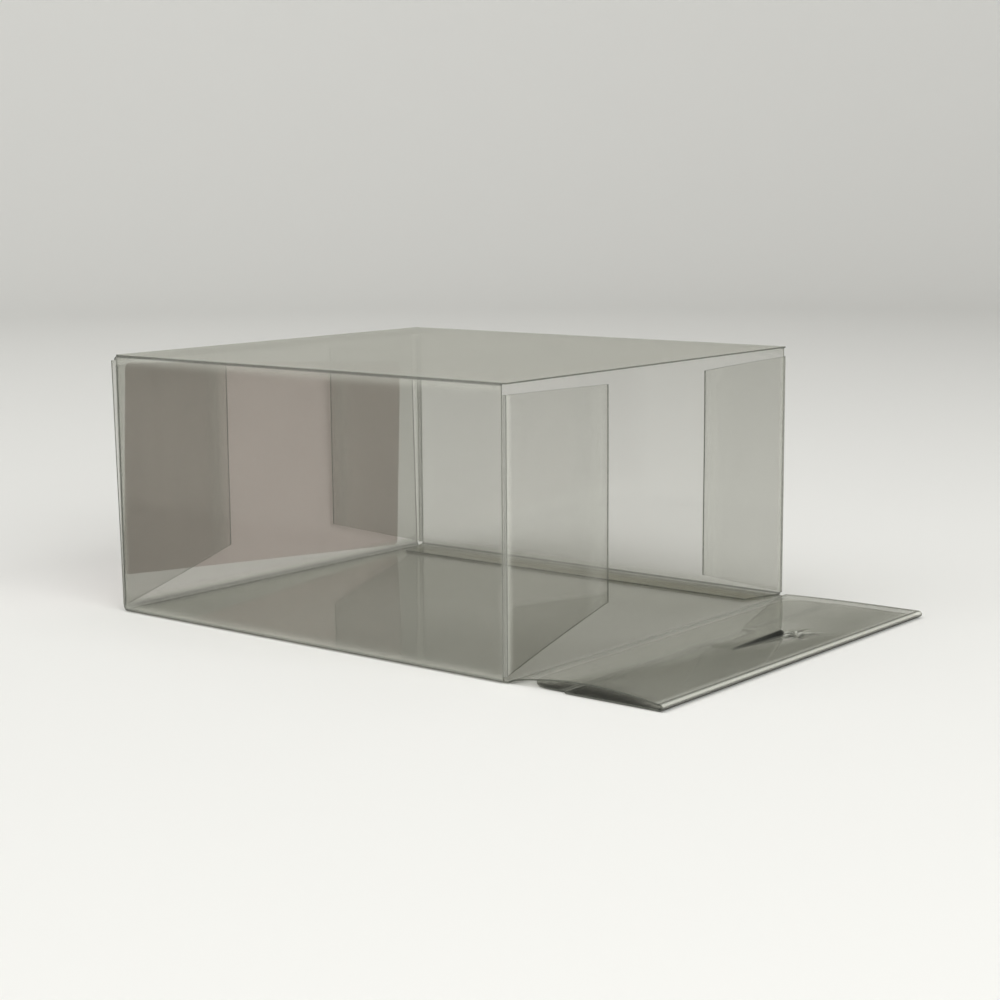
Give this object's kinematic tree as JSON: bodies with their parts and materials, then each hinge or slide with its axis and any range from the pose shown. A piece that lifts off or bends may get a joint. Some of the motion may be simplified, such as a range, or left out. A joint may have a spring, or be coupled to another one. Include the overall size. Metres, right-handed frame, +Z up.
{
  "type": "shoe box",
  "caption": "Clear film shoe carton lying flat, with dust flaps and tuck-in end closures that fold at their creases.",
  "frame": {"origin": "middle of the bottom panel's underside, on the surface that the carton lies on", "axes": "+X along the length towards the open front end, +Y across the width towards the glued side, +Z up"},
  "size_m": [0.1787, 0.124, 0.07],
  "materials": {
    "film": "glossy",
    "crease": "satin",
    "glue": "satin",
    "paper": "matte"
  },
  "bodies": {
    "tube": {"bottom_panel": "film", "near_side_panel": "film", "top_panel": "film", "far_side_panel": "film", "glue_flap": "film", "glue_line": "glue", "lower_near_crease": "crease", "upper_near_crease": "crease", "upper_far_crease": "crease", "glue_flap_crease": "crease"},
    "front_closure": {"front_closure_lower": "film"},
    "front_closure_bow": {"front_closure_middle": "film"},
    "front_closure_end": {"front_closure_upper": "film"},
    "front_tuck": {"front_tuck_flap": "film"},
    "front_near_flap": {"front_near_dust_flap": "film"},
    "front_far_flap": {"front_far_dust_flap": "film"},
    "rear_closure": {"rear_closure": "film", "rear_label": "paper"},
    "rear_tuck": {"rear_tuck_flap": "film"},
    "rear_near_flap": {"rear_near_dust_flap": "film"},
    "rear_far_flap": {"rear_far_dust_flap": "film"}
  },
  "joints": [
    {"name": "front_closure_crease", "type": "hinge", "parent": "tube", "child": "front_closure", "pos_m": [0.0678, 0, 0.0008], "axis": [0, 1, 0], "range_deg": [-85, 0]},
    {"name": "front_closure_buckle", "type": "hinge", "parent": "front_closure", "child": "front_closure_bow", "pos_m": [0.09051, 0, 0.00279], "axis": [0, 1, 0], "range_deg": [-9, 0]},
    {"name": "front_closure_fold", "type": "hinge", "parent": "front_closure_bow", "child": "front_closure_end", "pos_m": [0.10922, 0, 0.00084], "axis": [0, 1, 0], "range_deg": [-176, 0]},
    {"name": "front_tuck_crease", "type": "hinge", "parent": "front_closure_end", "child": "front_tuck", "pos_m": [0.08242, 0, 0.0002], "axis": [0, 1, 0], "range_deg": [-90, 0]},
    {"name": "front_near_flap_crease", "type": "hinge", "parent": "tube", "child": "front_near_flap", "pos_m": [0.0668, -0.06135, 0.0343], "axis": [0, 0, -1], "range_deg": [-85, 90]},
    {"name": "front_far_flap_crease", "type": "hinge", "parent": "tube", "child": "front_far_flap", "pos_m": [0.0668, 0.06135, 0.0343], "axis": [0, 0, 1], "range_deg": [-85, 90]},
    {"name": "rear_closure_crease", "type": "hinge", "parent": "tube", "child": "rear_closure", "pos_m": [-0.0678, 0, 0.0008], "axis": [0, -1, 0], "range_deg": [-1.2, 88.8]},
    {"name": "rear_tuck_crease", "type": "hinge", "parent": "rear_closure", "child": "rear_tuck", "pos_m": [-0.06923, 0, 0.06918], "axis": [0, -1, 0], "range_deg": [-12, 0]},
    {"name": "rear_near_flap_crease", "type": "hinge", "parent": "tube", "child": "rear_near_flap", "pos_m": [-0.0668, -0.06135, 0.0343], "axis": [0, 0, -1], "range_deg": [0, 85]},
    {"name": "rear_far_flap_crease", "type": "hinge", "parent": "tube", "child": "rear_far_flap", "pos_m": [-0.0668, 0.06135, 0.0343], "axis": [0, 0, 1], "range_deg": [0, 85]}
  ],
  "couplings": [
    {"joint": "front_closure_buckle", "follows": "front_closure_crease", "ratio": 0.10588}
  ]
}
